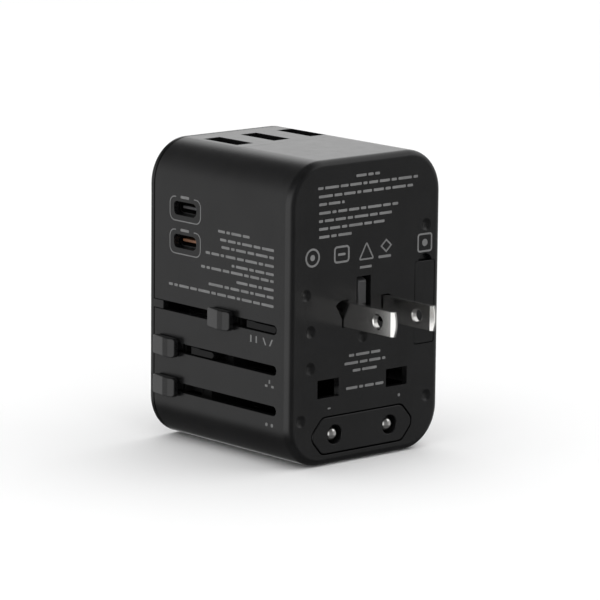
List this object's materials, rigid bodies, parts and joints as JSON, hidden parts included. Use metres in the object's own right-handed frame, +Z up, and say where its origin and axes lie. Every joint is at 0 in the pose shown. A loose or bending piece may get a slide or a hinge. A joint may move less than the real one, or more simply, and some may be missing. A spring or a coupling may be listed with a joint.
{
  "type": "universal travel adapter",
  "caption": "Boxy black travel plug adapter: sliders push out US/AU blades, UK pins or EU pins; universal socket and USB charging ports.",
  "frame": {"origin": "middle of the base, on the surface that the adapter stands on", "axes": "+Z up; the plug face with its pins and blades looks along -Y, the universal socket face along +Y, the sliders are on the -X side"},
  "size_m": [0.0515, 0.0703, 0.0745],
  "materials": {
    "black_plastic": "fine matte texture",
    "knob_plastic": "satin",
    "grey_plastic": "satin",
    "white_plastic": "satin",
    "orange_plastic": "satin",
    "nickel": "polished nickel plate",
    "contact_brass": "plain",
    "coated_brass": "black insulating coat",
    "steel": "plain",
    "circuit_board": "solder mask",
    "ferrite": "plain",
    "fuse_ceramic": "glazed",
    "light_pipe": "clear"
  },
  "bodies": {
    "root": {"main_housing": "black_plastic", "socket_cover": "black_plastic", "usb_a_panel": "black_plastic", "spare_fuse": "fuse_ceramic", "fuse_holder": "grey_plastic", "socket_block": "grey_plastic", "socket_contact_live": "contact_brass", "socket_contact_neutral": "contact_brass", "bus_bar_live": "coated_brass", "bus_bar_neutral": "coated_brass", "shutter_spring": "steel", "charger_board": "circuit_board", "usb_c_board": "circuit_board", "usb_a_shell_1": "steel", "usb_a_shell_2": "steel", "usb_a_shell_3": "steel", "usb_a_tongue_1": "white_plastic", "usb_a_tongue_2": "white_plastic", "usb_a_tongue_3": "white_plastic", "usb_c_shell_upper": "steel", "usb_c_shell_lower": "steel", "usb_c_tongue_upper": "grey_plastic", "usb_c_tongue_lower": "orange_plastic", "transformer": "ferrite", "capacitor_1": "black_plastic", "capacitor_2": "black_plastic", "power_light": "light_pipe", "cover_screw_1": "steel", "cover_screw_2": "steel", "board_screw_1": "steel", "board_screw_2": "steel"},
    "us_slider": {"us_carrier": "grey_plastic", "us_slot_strip": "black_plastic", "us_knob_spring": "steel"},
    "us_button": {"us_knob": "knob_plastic"},
    "us_left": {"us_blade_left": "nickel"},
    "us_right": {"us_blade_right": "nickel"},
    "uk_slider": {"uk_carrier": "grey_plastic", "uk_slot_strip": "black_plastic", "uk_pin_live": "nickel", "uk_pin_neutral": "nickel", "uk_pin_earth": "black_plastic", "uk_knob_spring": "steel"},
    "uk_button": {"uk_knob": "knob_plastic"},
    "eu_slider": {"eu_carrier": "grey_plastic", "eu_pin_left": "nickel", "eu_pin_right": "nickel", "eu_knob_spring": "steel"},
    "eu_button": {"eu_knob": "knob_plastic"},
    "eu_base": {"eu_block": "black_plastic"},
    "shutter": {"socket_shutter": "white_plastic"},
    "spare_door": {"spare_fuse_door": "black_plastic"},
    "drawer": {"fuse_drawer": "black_plastic", "main_fuse": "fuse_ceramic"}
  },
  "joints": [
    {"name": "us_slide", "type": "slide", "parent": "root", "child": "us_slider", "axis": [0, 1, 0], "range_m": [0, 0.0208]},
    {"name": "us_knob_press", "type": "slide", "parent": "us_slider", "child": "us_button", "axis": [1, 0, 0], "range_m": [0, 0.0005], "stiffness_N_per_m": 60, "springref_m": -0.002, "deforming": ["us_knob_spring"]},
    {"name": "us_blade_left_turn", "type": "hinge", "parent": "us_slider", "child": "us_left", "pos_m": [-0.00661, -0.0217, 0.0357], "axis": [0, -1, 0], "range_deg": [0, 30]},
    {"name": "us_blade_right_turn", "type": "hinge", "parent": "us_slider", "child": "us_right", "pos_m": [0.00609, -0.0217, 0.0357], "axis": [0, 1, 0], "range_deg": [0, 30]},
    {"name": "uk_slide", "type": "slide", "parent": "root", "child": "uk_slider", "axis": [0, -1, 0], "range_m": [0, 0.0232]},
    {"name": "uk_knob_press", "type": "slide", "parent": "uk_slider", "child": "uk_button", "axis": [1, 0, 0], "range_m": [0, 0.0005], "stiffness_N_per_m": 60, "springref_m": -0.002, "deforming": ["uk_knob_spring"]},
    {"name": "eu_slide", "type": "slide", "parent": "root", "child": "eu_slider", "axis": [0, -1, 0], "range_m": [0, 0.0296]},
    {"name": "eu_block_slide", "type": "slide", "parent": "root", "child": "eu_base", "axis": [0, -1, 0], "range_m": [0, 0.01]},
    {"name": "eu_knob_press", "type": "slide", "parent": "eu_slider", "child": "eu_button", "axis": [1, 0, 0], "range_m": [0, 0.0005], "stiffness_N_per_m": 60, "springref_m": -0.002, "deforming": ["eu_knob_spring"]},
    {"name": "shutter_drop", "type": "slide", "parent": "root", "child": "shutter", "axis": [0, 0, -1], "range_m": [0, 0.008], "stiffness_N_per_m": 20, "springref_m": -0.01, "deforming": ["shutter_spring"]},
    {"name": "spare_door_pull", "type": "slide", "parent": "root", "child": "spare_door", "axis": [0, -1, 0], "range_m": [0, 0.008]},
    {"name": "fuse_drawer_pull", "type": "slide", "parent": "root", "child": "drawer", "axis": [0, 1, 0], "range_m": [0, 0.021]}
  ],
  "couplings": [
    {"joint": "eu_block_slide", "follows": "eu_slide", "ratio": 0.33783}
  ]
}
